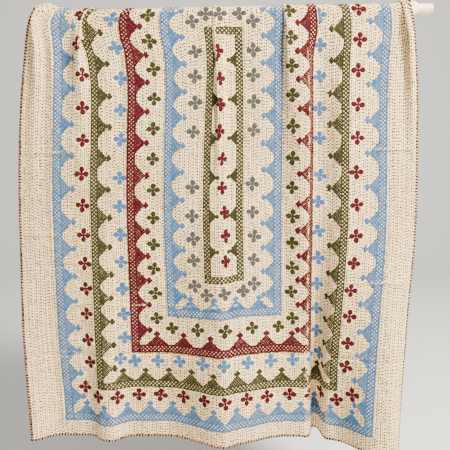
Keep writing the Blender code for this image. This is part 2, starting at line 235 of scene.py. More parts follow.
# Rings of crosses: half width, places down a side, the pitch above them, the end rows' distance
# below and above the middle, places along an end, the corner cross and the thread.
CROSSES = metres((
    (520, (500, 393, 285, 167, 50, -69, -188, -300, -404, -503, -600, -703, -790),
     104, (920, 915), (0, 80, 168, 252, 332, 415, 490), (550, 893), "red"),
    (382, (480, 380, 270, 157, 52, -88, -188, -298, -402, -500, -600, -688),
     102, (784, 780), (0, 86, 178, 264, 345), (400, 772), "blue"),
    (260, (492, 399, 301, 198, 91, -20, -132, -235, -335, -428, -520, -618),
     99, (655, 650), (0, 103, 206), None, "olive"),
    (112, (465, 360, 273, 182, 77, -119, -224, -313, -395, -490),
     100, (518, 490), (0, 68), None, "grey"),
    (0, (360, 261, 172, 81, -20, -124, -214, -302, -396), 200, (), (), None, "red"),
))
# The middle row's crosses are narrower, and stand aside of the pleat: (below this v, how far).
MIDDLE_ROW_SQUEEZE = 0.68
MIDDLE_ROW_ASIDE = metres(((-150, 6), (50, -6), (1000, -12)))
# The left crosses of this ring, above this v, stand clear of the green pleat's flap.
FLAP_RING, FLAP_LOW, CLEAR_OF_FLAP = metres((520, 350, 14))
# Spires and crosses that are carried on up a side end this far below the frame's end.
SPIRES_END, CROSSES_END = metres((45, 90))
PETAL_REACH = 0.0240
PETAL_HALF_WIDTH = 0.0075
CROSS_REACH = 0.030
CROSS_SHIFT = 0.0015
CROSS_TURN = radians(6)
# Half widths of the laid threads, by use, and how full each frame colour's own threads are.
LAID = {"lattice": 0.0030, "outline": 0.0021, "spire": 0.0025, "side": 0.0023, "knob": 0.0026,
        "petal": 0.0026, "rib": 0.0025}
FULLNESS = {"blue": 0.96, "olive": 1.0, "maroon": 1.12}
LATTICE_PITCH = 0.0140
FINE_PITCH = 0.0092
OUTLINE_STITCH = 0.0125
OUTLINE_INSET = 0.0008
STITCH_COLUMNS = 0.0080
STITCH_PITCH = 0.0112
WHIP_PITCH = 0.0105
SEED_HEIGHT = 0.0015
SEED_HALF_LENGTHS = (0.0030, 0.0042)
SEED_SHIFT = 0.0008
ROW_DRIFT = 0.0012
DARK_HALF_WIDTH = 0.0035
WARM_HALF_WIDTH = 0.0021
LIFTED = 0.0003
WOBBLE = 0.0004
SIZES = (0.94, 1.06)
# Threads stay this far inside the hems, and are seen on the inner face up to this v.
HEM_MARGIN = 0.002
SIDE_MARGIN = 0.006
UNDERSIDE_SHOWS = 0.060
GOLDEN_SHARE = 0.6180339
CLOTH_MAP = "cloth"
WHITE = (1.0, 1.0, 1.0)

# ---- stage and camera
FLOOR_FRONT = -7.0
BACKDROP = 6.50
BACKDROP_TOP = 6.5
BACKDROP_SIDES = (-9.0, 10.5)
SWEEP = 2.20
LENS = 41.36
CAMERA_PLACE = (0.691, -2.007, -0.544)
# Pitch down, yaw to the left and roll, in degrees.
CAMERA_TURNS = (6.5, 2.0, -0.5)


# ---- the cloth's surface
def ease(t):
    """Smooth step from 0 to 1."""
    t = np.clip(t, 0.0, 1.0)
    return t * t * (3.0 - 2.0 * t)


def along(values, length):
    """Read a table row between its stations, on a curve that never overshoots."""
    x, y = np.asarray(STATIONS), np.asarray(values, dtype=float)
    width = np.diff(x)
    slope = np.diff(y) / width
    lean = np.zeros_like(y)
    for i in range(1, len(y) - 1):
        if slope[i - 1] * slope[i] > 0:
            lean[i] = 2 * slope[i - 1] * slope[i] / (slope[i - 1] + slope[i])
    i = int(np.clip(np.searchsorted(x, length) - 1, 0, len(width) - 1))
    t = (length - x[i]) / width[i]
    start = (2 * t**3 - 3 * t**2 + 1) * y[i] + (t**3 - 2 * t**2 + t) * width[i] * lean[i]
    end = (3 * t**2 - 2 * t**3) * y[i + 1] + (t**3 - t**2) * width[i] * lean[i + 1]
    return float(start + end)


def sum_of_bells(table, across, length):
    """Add up one table's rounded ridges along a line across the cloth, in metres."""
    total = np.zeros_like(across)
    for _name, *across_sizes, heights in table:
        place, left_reach, right_reach = metres(tuple(across_sizes))
        offset = across - place
        share = np.where(offset < 0, -offset / left_reach, offset / right_reach)
        bell = 0.5 + 0.5 * np.cos(pi * np.minimum(share, 1.0))
        total += along(heights, length) / 1000 * bell
    return total


def crease_reach(closed):
    """Half the cloth taken up by one crease of a pleat, wider as the pleat opens."""
    return CREASE_REACH + OPEN_CREASE_REACH * (1 - closed)


def pleat_lean(across, place, hand, tuck, closed):
    """Angle that a knife pleat adds: a gentle rise to the flap's edge, then a turn under it."""
    turn = PLEAT_TURN * closed
    reach = crease_reach(closed)
    rise = asin(min(0.9, tuck * sin(turn) / PLEAT_RISE))
    offset = (across - place) * hand
    at_start = ease((offset + PLEAT_RISE) / RISE_START)
    at_edge = ease((offset + reach) / (2 * reach))
    at_end = ease((offset - tuck + reach) / (2 * reach))
    return hand * ((at_start - at_edge) * rise - (at_edge - at_end) * turn)


def fine_line(start, end, step):
    """Evenly spaced places from start to end."""
    return np.linspace(start, end, round((end - start) / step) + 1)


def running_sum(values, step):
    """Integral of evenly spaced values, from 0."""
    return np.concatenate([[0.0], np.cumsum((values[1:] + values[:-1]) / 2 * step)])


def cross_section(across, length):
    """Places along the rod, and heights over the hanging plane, of one line across the cloth."""
    step = across[1] - across[0]
    height = sum_of_bells(FOLDS, across, length)
    soft_angle = np.arcsin(np.clip(np.gradient(height, across), -STEEPEST, STEEPEST))
    angle = soft_angle.copy()
    spans = []
    for _name, place, hand, tuck, closing in PLEATS:
        closed = along(closing, length)
        if closed > 0:
            angle += pleat_lean(across, place, hand, tuck, closed)
            spans.append((place, hand, tuck, crease_reach(closed)))
    travel = running_sum(np.cos(angle), step)
    depth = running_sum(np.sin(angle), step) + height[0]
    for place, hand, tuck, reach in spans:
        sides = (place - hand * (PLEAT_RISE + reach), place + hand * (tuck + reach))
        first, last = np.clip(np.searchsorted(across, sorted(sides)), 0, len(across) - 1)
        jump = depth[last] - depth[first] - np.sum(np.sin(soft_angle[first:last])) * step
        low = min(place, place - hand * PLEAT_RISE)
        depth = depth - jump * ease((across - low) / PLEAT_RISE)
    middle = along(MIDDLE_LINE, length)
    middle_travel = np.interp(MIDDLE, across, travel)
    left_stretch = (middle - along(LEFT_OUTLINE, length)) / middle_travel
    right_stretch = (along(RIGHT_OUTLINE, length) - middle) / (travel[-1] - middle_travel)
    stretch = np.where(across < MIDDLE, left_stretch, right_stretch)
    return middle + (travel - middle_travel) * stretch, depth


def hanging_line(length):
    """Point (y, z) and outward direction on the plain path over the rod and down each side."""
    turn = max(-pi / 2, min(length / REACH, pi / 2))
    drop = abs(length) - abs(turn) * REACH
    middle = (-ROD_FROM_WALL - REACH * sin(turn), REACH * cos(turn) - drop)
    return middle, (-sin(turn), cos(turn))


def small_relief(across, length):
    """Storage creases and broad ripples, which fade out over the rod."""
    relief = np.zeros_like(across)
    for place, start, end, height in CREASES:
        distance = abs(length - place - CREASE_WANDER * sin(place * 90))
        if distance < CREASE_HALF_WIDTH:
            reach = ease((across - start) / CREASE_FADE) * ease((end - across) / CREASE_FADE)
            relief += height * reach * (0.5 + 0.5 * cos(pi * distance / CREASE_HALF_WIDTH))
    for wide, long, tilt, height in RIPPLES:
        wave = np.sin(2 * pi * across / wide + tilt + 1.3 * sin(2 * pi * length / long))
        relief += height / 1000 * wave * sin(2 * pi * length / long + 2 * tilt)
    return relief * float(ease((abs(length) - RELIEF_START) / RELIEF_FADE))


def spread(fine, gap):
    """Places along a line, as far apart at each point as the gap wanted there."""
    count = running_sum(1 / gap, fine[1] - fine[0])
    return np.interp(np.linspace(0, count[-1], int(round(count[-1])) + 1), count, fine)


def column_places(spacing):
    """Columns of the cloth's mesh: even, but close in the creases of the knife pleats."""
    fine = fine_line(LEFT_SIDE, RIGHT_SIDE, COLUMN_STEP)
    gap = np.full_like(fine, spacing)
    for _name, place, hand, tuck, _closing in PLEATS:
        for crease in (place, place + hand * tuck):
            distance = np.abs(fine - crease)
            for near, close in PLEAT_SPACINGS:
                gap = np.minimum(gap, np.where(distance < near, close, 1.0))
    return spread(fine, gap)


def row_lengths(spacing):
    """Rows of the cloth's mesh: close over the rod and at the storage creases, wider elsewhere."""
    fine = fine_line(BACK_FALL, FRONT_FALL, ROW_STEP)
    gap = np.where(fine < -0.05, 2 * spacing, spacing)
    gap = np.where(np.abs(fine) < REACH * pi / 2, REACH * pi / 14, gap)
    for place, _start, _end, _height in CREASES:
        gap = np.where(np.abs(fine - place) < 1.3 * CREASE_HALF_WIDTH, CREASE_SPACING, gap)
    return spread(fine, gap)


def step_of(marks, value):
    """The step of a rising row of marks that holds each value, and its share of that step."""
    index = np.clip(np.searchsorted(marks, value) - 1, 0, len(marks) - 2)
    share = (value - marks[index]) / (marks[index + 1] - marks[index])
    return index, np.clip(share, 0, 1)[..., None]


class ClothSurface:
    """The quilt's middle surface as a grid of points and their normals."""

    def __init__(self, column_spacing, row_spacing):
        self.u = column_places(column_spacing)
        self.length = row_lengths(row_spacing)
        across = fine_line(LEFT_SIDE, RIGHT_SIDE, LINE_STEP)
        rows = []
        for length in self.length:
            travel, depth = cross_section(across, length)
            depth = depth + small_relief(across, length)
            lift = np.interp(self.u, across, sum_of_bells(LIFTS, across, length))
            (y, z), (out_y, out_z) = hanging_line(length)
            x = np.interp(self.u, across, travel)
            out = np.interp(self.u, across, depth)
            rows.append(np.column_stack([x, y + out_y * out, z + out_z * out + lift]))
        self.points = np.array(rows)
        normal = np.cross(np.gradient(self.points, axis=0), np.gradient(self.points, axis=1))
        self.normals = normal / np.linalg.norm(normal, axis=2, keepdims=True)


def on_cloth(u, v, lift, face):
    """Points lifted off one face of the cloth, 1 for the outer one and -1 for the inner."""
    cloth = the_cloth()
    c, across = step_of(cloth.u, u)
    r, down = step_of(cloth.length, MIDDLE_OF_CLOTH - v)
    point, normal = (
        (grid[r, c] * (1 - across) + grid[r, c + 1] * across) * (1 - down)
        + (grid[r + 1, c] * (1 - across) + grid[r + 1, c + 1] * across) * down
        for grid in (cloth.points, cloth.normals))
    return point + normal * (face * (THICKNESS / 2 + np.asarray(lift)))[..., None]


# ---- meshes
def new_object(name, vertices, faces, material, uv=None):
    """A smooth mesh object from arrays of vertices and of faces with equally many corners."""
    mesh = bpy.data.meshes.new(name)
    mesh.vertices.add(len(vertices))
    mesh.vertices.foreach_set("co", np.asarray(vertices, dtype=np.float32).ravel())
    mesh.loops.add(faces.size)
    mesh.loops.foreach_set("vertex_index", faces.astype(np.int32).ravel())
    mesh.polygons.add(len(faces))
    starts = np.arange(0, faces.size, faces.shape[1], dtype=np.int32)
    mesh.polygons.foreach_set("loop_start", starts)
    mesh.update(calc_edges=True)
    if uv is not None:
        layer = mesh.uv_layers.new(name=CLOTH_MAP)
        layer.data.foreach_set("uv", uv[faces.ravel()].astype(np.float32).ravel())
    mesh.shade_smooth()
    mesh.materials.append(material)
    item = bpy.data.objects.new(name, mesh)
    bpy.context.scene.collection.objects.link(item)
    return item


def finish_piece(item, slot, *replaced):
    """Tie a finished piece to the frame."""
    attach(item, "root")
    if replaced:
        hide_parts(*replaced)
    return item


def in_closed_pleat(u, v):
    """True where the cloth is turned under inside a closed knife pleat."""
    hidden = np.zeros(np.shape(u), dtype=bool)
    for _name, place, hand, tuck, closing in PLEATS:
        closed = np.interp(MIDDLE_OF_CLOTH - v, STATIONS, closing)
        offset = (u - place) * hand
        hidden |= (offset > PAST_CREASE) & (offset < 2 * tuck) & (closed > PLEAT_HIDES)
    return hidden


def off_the_cloth(u, v):
    """True beyond the cloth's edges."""
    length = MIDDLE_OF_CLOTH - v
    across = (u < LEFT_SIDE + HEM_MARGIN) | (u > RIGHT_SIDE - HEM_MARGIN)
    return across | (length > FRONT_FALL - HEM_MARGIN) | (length < BACK_FALL + HEM_MARGIN)


def thread_numbers(count, start=0.0):
    """Numbers from 0 to 1, one a thread, scattered evenly."""
    return (start + np.arange(count) * GOLDEN_SHARE) % 1.0


def roof_faces(count, steps, shown=slice(None)):
    """Faces round threads made of three-pointed sections: left, top and right."""
    start = (np.arange(count)[:, None] * steps + np.arange(steps - 1)[None, :]) * 3
    start = start.ravel()[shown, None]
    return np.concatenate([start + corners for corners in
                           ((0, 1, 4, 3), (1, 2, 5, 4), (2, 0, 3, 5))])


def strands(u, v, half_width, height, face, start_number):
    """Raised threads: each row of u and v is a path, given a roof-shaped section.

    Returns vertices, faces and a map whose first value runs along the thread in metres and
    whose second is a number of the thread's own.
    """
    count, steps = u.shape
    du, dv = np.gradient(u, axis=1), np.gradient(v, axis=1)
    size = np.maximum(np.hypot(du, dv), 1e-9)
    side_u, side_v = -dv / size * half_width, du / size * half_width
    t = np.linspace(0, 1, steps)
    arch = np.minimum(1.0, 6.0 * t * (1 - t) + 0.55)[None, :] * height
    sections = [on_cloth(u + side_u, v + side_v, LIFTED, face), on_cloth(u, v, arch, face),
                on_cloth(u - side_u, v - side_v, LIFTED, face)]
    vertices = np.stack(sections, axis=2).reshape(-1, 3)
    shown = ~(in_closed_pleat(u, v) | off_the_cloth(u, v))
    quads = roof_faces(count, steps, (shown[:, 1:] & shown[:, :-1]).ravel())[:, ::face]
    number = np.repeat(thread_numbers(count, start_number)[:, None], steps, axis=1)
    uv = [np.cumsum(size, axis=1), number]
    return vertices, quads, np.repeat(np.stack(uv, axis=-1).reshape(-1, 2), 3, axis=0)


def seeds(u, v, half_length, half_width, lean, face):
    """Short running stitches, each a four-sided bump that lies along v and leans a little."""
    tip_u, tip_v = half_length * np.sin(lean), half_length * np.cos(lean)
    side_u, side_v = half_width * np.cos(lean), -half_width * np.sin(lean)
    points = [on_cloth(u + a, v + b, LIFTED, face) for a, b in (
        (-tip_u, -tip_v), (side_u, side_v), (tip_u, tip_v), (-side_u, -side_v))]
    points.append(on_cloth(u, v, SEED_HEIGHT, face))
    base = np.arange(len(u))[:, None] * 5
    corners = [[k, (k + 1) % 4, 4] for k in range(4)] + [[2, 1, 0], [3, 2, 0]]
    faces = np.concatenate([base + corner for corner in corners])[:, ::face]
    number = np.repeat(thread_numbers(len(u))[:, None], 5, axis=1)
    run = np.outer(2 * half_length, (0.0, 0.5, 1.0, 0.5, 0.5))
    uv = np.stack([run, number], axis=-1).reshape(-1, 2)
    return np.stack(points, axis=1).reshape(-1, 3), faces, uv


def thread_piece(name, parts, material):
    """One object for many threads, from (vertices, faces, map) arrays, tied to the frame."""
    vertices, faces, maps = zip(*parts)
    starts = np.cumsum([0] + [len(more) for more in vertices[:-1]])
    faces = np.concatenate([more + start for more, start in zip(faces, starts)])
    used, corners = np.unique(faces, return_inverse=True)
    item = new_object(name, np.concatenate(vertices)[used], corners.reshape(faces.shape),
                      material, np.concatenate(maps)[used])
    workshop["embroidery"].append(finish_piece(item, "quilt"))


# ---- pattern geometry in (u, v)
def straight_paths(ends, steps):
    """Straight paths from rows of (start a, start b, end a, end b)."""
    t = np.linspace(0, 1, steps)[None, :]
    a = ends[:, :1] + (ends[:, 2:3] - ends[:, :1]) * t
    b = ends[:, 1:2] + (ends[:, 3:4] - ends[:, 1:2]) * t
    return a, b


def band_lattice(start, end, width):
    """Crossing threads of one straight band, a along it and b from 0 to its width."""
    crossings = max(2, round((end - start) / LATTICE_PITCH))
    pitch = (end - start) / crossings
    ends = []
    for hand in (1, -1):
        for n in range(-int(width / pitch) - 1, crossings + 1):
            a0 = start + n * pitch
            low = max(0.0, (start - a0) / width)
            high = min(1.0, (end - a0) / width)
            if high - low > 0.15:
                b0, b1 = (low, high) if hand > 0 else (1 - low, 1 - high)
                ends.append((a0 + low * width, b0 * width, a0 + high * width, b1 * width))
    return np.array(ends)


def band_outline(start, end, width):
    """Back stitches along both edges of a straight band."""
    count = max(2, round((end - start) / OUTLINE_STITCH))
    a = np.linspace(start, end, count + 1)
    return np.array([(a[n], b, a[n + 1], b) for n in range(count)
                     for b in (OUTLINE_INSET, width - OUTLINE_INSET)])


def spire_half_width(rise):
    """Half width of a spire at a share of its height."""
    open_share = 1 - np.clip(rise, 0, 1)
    return SPIRE_NECK + (SPIRE_HALF_BASE - SPIRE_NECK) * open_share ** SPIRE_HOLLOW


# The knob's threads, from (a, b) to (a, b), in knob sizes from its middle.
KNOB_THREADS = ((-1.12, -0.10, 1.12, 0.10), (-1.08, 0.25, 1.08, -0.25), (0.15, -1, -0.10, 1),
                (-0.20, -1, 0.25, 1), (-0.80, -0.55, 0.75, 0.55), (0.80, -0.55, -0.75, 0.55))
# A petal's ribs, in its half widths and half lengths from its middle.
RIBS = ((-0.85, 0.1, 0.6, 0.8), (0.85, 0.1, -0.6, 0.8), (-0.8, -0.4, 0.8, 0.35),
        (0.8, -0.4, -0.8, 0.35), (0.25, -1.9, -0.1, 0.9), (-0.35, -1.9, 0.2, 0.2))


def spire_paths():
    """One spire's crossing threads, sloping sides and knob, each as (a, b) paths."""
    ends = []
    for hand in (1, -1):
        for n in range(-9, 10):
            t = fine_line(-SPIRE_REACH, SPIRE_REACH, SPIRE_STEP)
            a = n * FINE_PITCH + t
            b = hand * t + SPIRE_HEIGHT / 2
            inside = (b > -0.001) & (b < SPIRE_HEIGHT)
            inside &= np.abs(a) < spire_half_width(b / SPIRE_HEIGHT)
            index = np.flatnonzero(inside)
            if len(index) > FEWEST_STEPS:
                ends.append((a[index[0]], b[index[0]], a[index[-1]], b[index[-1]]))
    fill = straight_paths(np.array(ends), 3)
    rise = np.linspace(0.0, 1.0, 7)
    half = spire_half_width(rise)
    sides = np.stack([half, -half]), np.stack([rise, rise]) * SPIRE_HEIGHT
    knob = KNOB_SIZE * np.array(KNOB_THREADS)
    knob[:, 1::2] += SPIRE_HEIGHT + KNOB_SIZE * 0.9
    return fill, sides, straight_paths(knob, 3)


def petal_paths(reach, half_width):
    """Four petals round a cross's middle: closed loops and the threads that fill them."""
    turn = np.linspace(0, 2 * pi, 9)
    middle = 0.64 * reach
    long = reach - middle
    a, b = half_width * np.sin(turn), middle - long * np.cos(turn)
    ribs = np.array(RIBS) * (half_width, long, half_width, long) + (0, middle, 0, middle)
    loops, ends = [], []
    for quarter in range(4):
        c, s = cos(quarter * pi / 2), sin(quarter * pi / 2)
        loops.append((a * c - b * s, a * s + b * c))
        p, q = ribs[:, 0::2], ribs[:, 1::2]
        ends.append(np.stack([p * c - q * s, p * s + q * c], axis=-1).reshape(-1, 4))
    return np.array(loops).swapaxes(0, 1), straight_paths(np.concatenate(ends), 3)


def both_sides(places):
    """Places and their mirror images, without a second one at 0."""
    return [p for p in places] + [-p for p in places if p > 1e-6]


def run_up(places, pitch, limit):
    """Places down a side, carried on at an even pitch over the rod and down the back."""
    found = list(places)
    while found[0] + pitch < limit:
        found.insert(0, found[0] + pitch)
    return found


def spire_places(name):
    """Each spire of a frame as (u, v, direction of its point as (du, dv), scale)."""
    half, below, above, width, _thread = FRAMES[name]
    sides, pitch, ends = SPIRES[name]
    scale = SPIRE_SCALES.get(name, 1.0)
    found = []
    for place in run_up(sides, pitch, above - width - SPIRES_END):
        found.append((-half + width, place, 1.0, 0.0, scale))
        found.append((half - width, place, -1.0, 0.0, scale))
    for place in both_sides(ends):
        found.append((place, -below + width, 0.0, 1.0, scale))
        found.append((place, above - width, 0.0, -1.0, scale))
    return found


def cross_places():
    """Each cross as (u, v, share of full width, thread)."""
    found = []
    for half, sides, pitch, rows, ends, corner, thread in CROSSES:
        if not half:
            found += [(next(aside for top, aside in MIDDLE_ROW_ASIDE if v < top), v,
                       MIDDLE_ROW_SQUEEZE, thread) for v in sides]
            continue
        for place in run_up(sides, pitch, rows[1] - CROSSES_END):
            aside = CLEAR_OF_FLAP if half == FLAP_RING and place > FLAP_LOW else 0.0
            found += [(-half - aside, place, 1.0, thread), (half, place, 1.0, thread)]
        for place in both_sides(ends):
            found += [(place, -rows[0], 1.0, thread), (place, rows[1], 1.0, thread)]
        if corner:
            found += [(su * corner[0], sv * corner[1], 1.0, thread)
                      for su in (-1, 1) for sv in (-1, 1)]
    return found


def under_embroidery(u, v):
    """True where a band, spire or cross covers the cloth, so no running stitch shows."""
    covered = np.zeros(np.shape(u), dtype=bool)
    edge = 0.002
    for name, (half, below, above, width, _thread) in FRAMES.items():
        within = (np.abs(u) < half + edge) & (v > -below - edge) & (v < above + edge)
        hollow = (np.abs(u) < half - width - edge)
        hollow &= (v > -below + width + edge) & (v < above - width - edge)
        covered |= within & ~hollow
        for su, sv, du, dv, scale in spire_places(name):
            near = np.flatnonzero(np.maximum(np.abs(u - su), np.abs(v - sv)) < SPIRE_REACH)
            b = (u[near] - su) * du + (v[near] - sv) * dv
            a = (u[near] - su) * dv - (v[near] - sv) * du
            height = SPIRE_HEIGHT * scale
            inside = (b > 0) & (b < height) & (np.abs(a) < spire_half_width(b / height) + edge)
            inside |= np.hypot(a, b - height - KNOB_SIZE) < KNOB_SIZE + edge
            covered[near[inside]] = True
    for cu, cv, squeeze, _thread in cross_places():
        near = np.flatnonzero(np.maximum(np.abs(u - cu), np.abs(v - cv)) < CROSS_REACH)
        a, b = np.abs(u[near] - cu) / squeeze, np.abs(v[near] - cv)
        inside = np.minimum(a, b) < 1.4 * PETAL_HALF_WIDTH
        inside &= np.maximum(a, b) < 1.1 * PETAL_REACH
        covered[near[inside]] = True
    return covered


# ---- materials
class Shading:
    """Adds nodes to one tree. An input may be a number, a colour or another node's output."""

    def __init__(self, tree):
        self.tree = tree

    def fill(self, node, inputs):
        """Link or set a node's inputs, leaving out those that are None."""
        for key, value in inputs.items():
            if isinstance(value, bpy.types.NodeSocket):
                self.tree.links.new(value, node.inputs[key])
            elif value is not None:
                node.inputs[key].default_value = value

    def add(self, kind, inputs, output=0, **settings):
        """Add a node with its settings and inputs, and return one of its outputs."""
        node = self.tree.nodes.new("ShaderNode" + kind)
        for key, value in settings.items():
            setattr(node, key, value)
        self.fill(node, inputs)
        return node.outputs[output]

    def ramp(self, source, stops, interpolation="LINEAR"):
        """A colour read by a value, from (place, colour) stops."""
        colour = self.add("ValToRGB", {"Fac": source})
        colour.node.color_ramp.interpolation = interpolation
        elements = colour.node.color_ramp.elements
        while len(elements) < len(stops):
            elements.new(0.5)
        for element, (place, tone) in zip(elements, stops):
            element.position, element.color = place, (*tone, 1.0)
        return colour

    def mix(self, factor, first, second, blend="MIX"):
        """Mix two colours."""
        first, second = (colour if isinstance(colour, bpy.types.NodeSocket) else (*colour, 1.0)
                         for colour in (first, second))
        return self.add("Mix", {0: factor, 6: first, 7: second}, 2,
                        data_type="RGBA", blend_type=blend)

    def math(self, operation, first, second=None):
        """A Math node."""
        return self.add("Math", {0: first, 1: second}, operation=operation)

    def noise(self, source, scale, detail, roughness, stretch=(1, 1, 1)):
        """A noise value on a stretched coordinate."""
        mapped = self.add("Mapping", {"Vector": source, "Scale": stretch})
        return self.add("TexNoise", {"Vector": mapped, "Scale": scale, "Detail": detail,
                                     "Roughness": roughness}, "Fac")

    def waves(self, source, period, direction, distortion):
        """A sine value with a period in metres along X or Y."""
        return self.add("TexWave", {"Vector": source, "Scale": pi / 10 / period,
                                    "Distortion": distortion, "Detail": 1.0,
                                    "Detail Scale": 1.5}, "Fac", bands_direction=direction)

    def bump(self, height, distance, strength, below=None):
        """A bump of a height in metres, on top of another bump if one is given."""
        return self.add("Bump", {"Height": height, "Distance": distance,
                                 "Strength": strength, "Normal": below})

    def group(self, name, source, build):
        """The outputs of a node group, built the first time that its name is asked for."""
        tree = bpy.data.node_groups.get(name) or new_group(name, build)
        return self.add("Group", {0: source}, node_tree=tree).node.outputs


def new_group(name, build):
    """A node group that reads one coordinate and puts out the values that a function names."""
    tree = bpy.data.node_groups.new(name, "ShaderNodeTree")
    tree.interface.new_socket("Coordinate", in_out="INPUT", socket_type="NodeSocketVector")
    inlet, outlet = tree.nodes.new("NodeGroupInput"), tree.nodes.new("NodeGroupOutput")
    for output, value in build(Shading(tree), inlet.outputs[0]).items():
        tree.interface.new_socket(output, in_out="OUTPUT", socket_type="NodeSocketFloat")
        tree.links.new(value, outlet.inputs[output])
    return tree


def new_material(name, coordinate="TexCoord", output="Object", **settings):
    """A new material, its node builder and the coordinate that its patterns are read on."""
    material = bpy.data.materials.new(name)
    material.use_nodes = True
    nodes = Shading(material.node_tree)
    return material, nodes, nodes.add(coordinate, {}, output, **settings)


def finish_material(material, nodes, **inputs):
    """Set the shader's inputs, given by name with _ for a space."""
    nodes.fill(material.node_tree.nodes["Principled BSDF"],
               {name.replace("_", " "): value for name, value in inputs.items()})
    return material


def tinted(colour, shares):
    """A colour with each of its values scaled."""
    return tuple(c * share for c, share in zip(colour, shares))


def weave(nodes, source):
    """Plain weave: raised where a warp or a weft thread crosses over, with uneven yarn."""
    warp = nodes.waves(source, 0.0011, "X", 0.6)
    weft = nodes.waves(source, 0.0012, "Y", 0.6)
    slubs = [nodes.noise(source, 120.0, 2.0, 0.6, stretch)
             for stretch in ((1.0, 0.12, 1.0), (0.12, 1.0, 1.0))]
    return {"Height": nodes.math("MULTIPLY", warp, weft), "Slub": nodes.math("ADD", *slubs)}


def pucker(nodes, source):
    """Quilted pucker: the cloth dips along each stitched row and swells between rows."""
    rows = nodes.waves(source, STITCH_COLUMNS, "X", 0.9)
    dips = nodes.math("ADD", nodes.waves(source, STITCH_PITCH, "Y", 2.4), 0.4)
    swell = nodes.noise(source, 70.0, 3.0, 0.6, (1.0, 0.55, 1.0))
    return {"Height": nodes.math("ADD", nodes.math("MULTIPLY", rows, dips),
                                 nodes.math("MULTIPLY", swell, 1.5))}


def twist(nodes, source):
    """Plied yarn: slanting ridges along a thread, and a tone of the thread's own."""
    own = nodes.add("SeparateXYZ", {0: source}, "Y")
    scattered = nodes.math("FRACT", nodes.math("MULTIPLY", own, 37.7))
    blotches = nodes.noise(source, 60.0, 2.0, 0.6)
    return {"Height": nodes.waves(source, 0.0016, "X", 0.8),
            "Tone": nodes.math("ADD", nodes.math("MULTIPLY", scattered, 0.6),
                               nodes.math("MULTIPLY", blotches, 0.6))}


def cotton_material(cloth_colour, shaded_colour):
    """Cream quilted cotton: weave, slubs, pucker with painted shade darkening its dips, faint
    stains and warm patches.
    """
    material, nodes, source = new_material("quilted_cream_cotton", "UVMap", 0, uv_map=CLOTH_MAP)
    woven = nodes.group("plain_weave", source, weave)
    puckered = nodes.group("stitch_pucker", source, pucker)["Height"]
    tone = nodes.ramp(nodes.noise(source, 2.6, 3.0, 0.6),
                      ((0.30, shaded_colour), (0.62, cloth_colour)))
    speckle = nodes.math("MULTIPLY", nodes.noise(source, 90.0, 3.0, 0.65), 0.45)
    tone = nodes.mix(speckle, tone, tinted(cloth_colour, (0.94, 0.84, 0.74)))
    # The first row is painted shade: the colour darkens where the cloth dips along the stitched
    # rows.
    for share, value, stops in (
        (1.0, puckered, ((0.50, (0.55, 0.46, 0.37)), (1.25, WHITE))),
        (0.8, woven["Slub"], ((0.7, (0.93, 0.91, 0.88)), (1.2, WHITE))),
        (0.7, nodes.noise(source, 17.0, 4.0, 0.55), ((0.70, WHITE), (0.78, (0.86, 0.80, 0.70)))),
    ):
        tone = nodes.mix(share, tone, nodes.ramp(value, stops), "MULTIPLY")
    normal = nodes.bump(nodes.noise(source, 24.0, 4.0, 0.55, (1.0, 0.8, 1.0)), 0.0085, 1.0)
    normal = nodes.bump(puckered, 0.0012, 1.0, normal)
    normal = nodes.bump(woven["Height"], 0.00012, 0.8, normal)
    return finish_material(material, nodes, Base_Color=tone, Roughness=0.86,
                           Specular_IOR_Level=0.15, Normal=normal)


def thread_material(name, colours, constant=False):
    """Cotton thread: two or more tones picked thread by thread, twisted plies with painted shade
    in the grooves between them.
    """
    material, nodes, source = new_material(name, "UVMap", 0, uv_map=CLOTH_MAP)
    plied = nodes.group("plied_twist", source, twist)
    if constant:
        stops = [(n / len(colours), c) for n, c in enumerate(colours)]
        tone = nodes.ramp(nodes.add("SeparateXYZ", {0: source}, "Y"), stops, "CONSTANT")
    else:
        stops = [(0.15 + 0.75 * n / (len(colours) - 1), c) for n, c in enumerate(colours)]
        tone = nodes.ramp(plied["Tone"], stops)
    # Painted shade: the colour darkens in the grooves between the twisted plies.
    painted_ply_shade = nodes.ramp(plied["Height"], ((0.0, (0.72, 0.72, 0.72)), (0.7, WHITE)))
    return finish_material(material, nodes, Base_Color=nodes.mix(0.8, tone, painted_ply_shade, "MULTIPLY"),
                           Roughness=0.85, Specular_IOR_Level=0.12,
                           Normal=nodes.bump(plied["Height"], 0.0002, 0.7))


def painted_wood_material(paint):
    """Cream satin paint on turned softwood: brush marks, faint grain and rubbed patches."""
    material, nodes, source = new_material("cream_painted_wood")
    mottle = nodes.noise(source, 9.0, 3.0, 0.5)
    tone = nodes.mix(nodes.math("MULTIPLY", mottle, 0.6), paint,
                     tinted(paint, (0.90, 0.87, 0.80)))
    rubbed = nodes.ramp(nodes.noise(source, 34.0, 5.0, 0.6),
                        ((0.66, WHITE), (0.74, (0.88, 0.83, 0.74))))
    gloss = nodes.add("MapRange", {"Value": mottle, "To Min": 0.24, "To Max": 0.42})
    grain = nodes.noise(source, 60.0, 4.0, 0.6, (0.08, 1.0, 1.0))
    return finish_material(material, nodes, Base_Color=nodes.mix(0.6, tone, rubbed, "MULTIPLY"),
                           Roughness=gloss, Coat_Weight=0.25, Coat_Roughness=0.2,
                           Normal=nodes.bump(grain, 0.0003, 0.6))


def backdrop_material(colour):
    """A plain stage finish with a faint unevenness."""
    material, nodes, source = new_material("pale_backdrop")
    tone = nodes.mix(nodes.noise(source, 1.4, 2.0, 0.5), colour, tinted(colour, (0.97,) * 3))
    return finish_material(material, nodes, Base_Color=tone, Roughness=0.9)


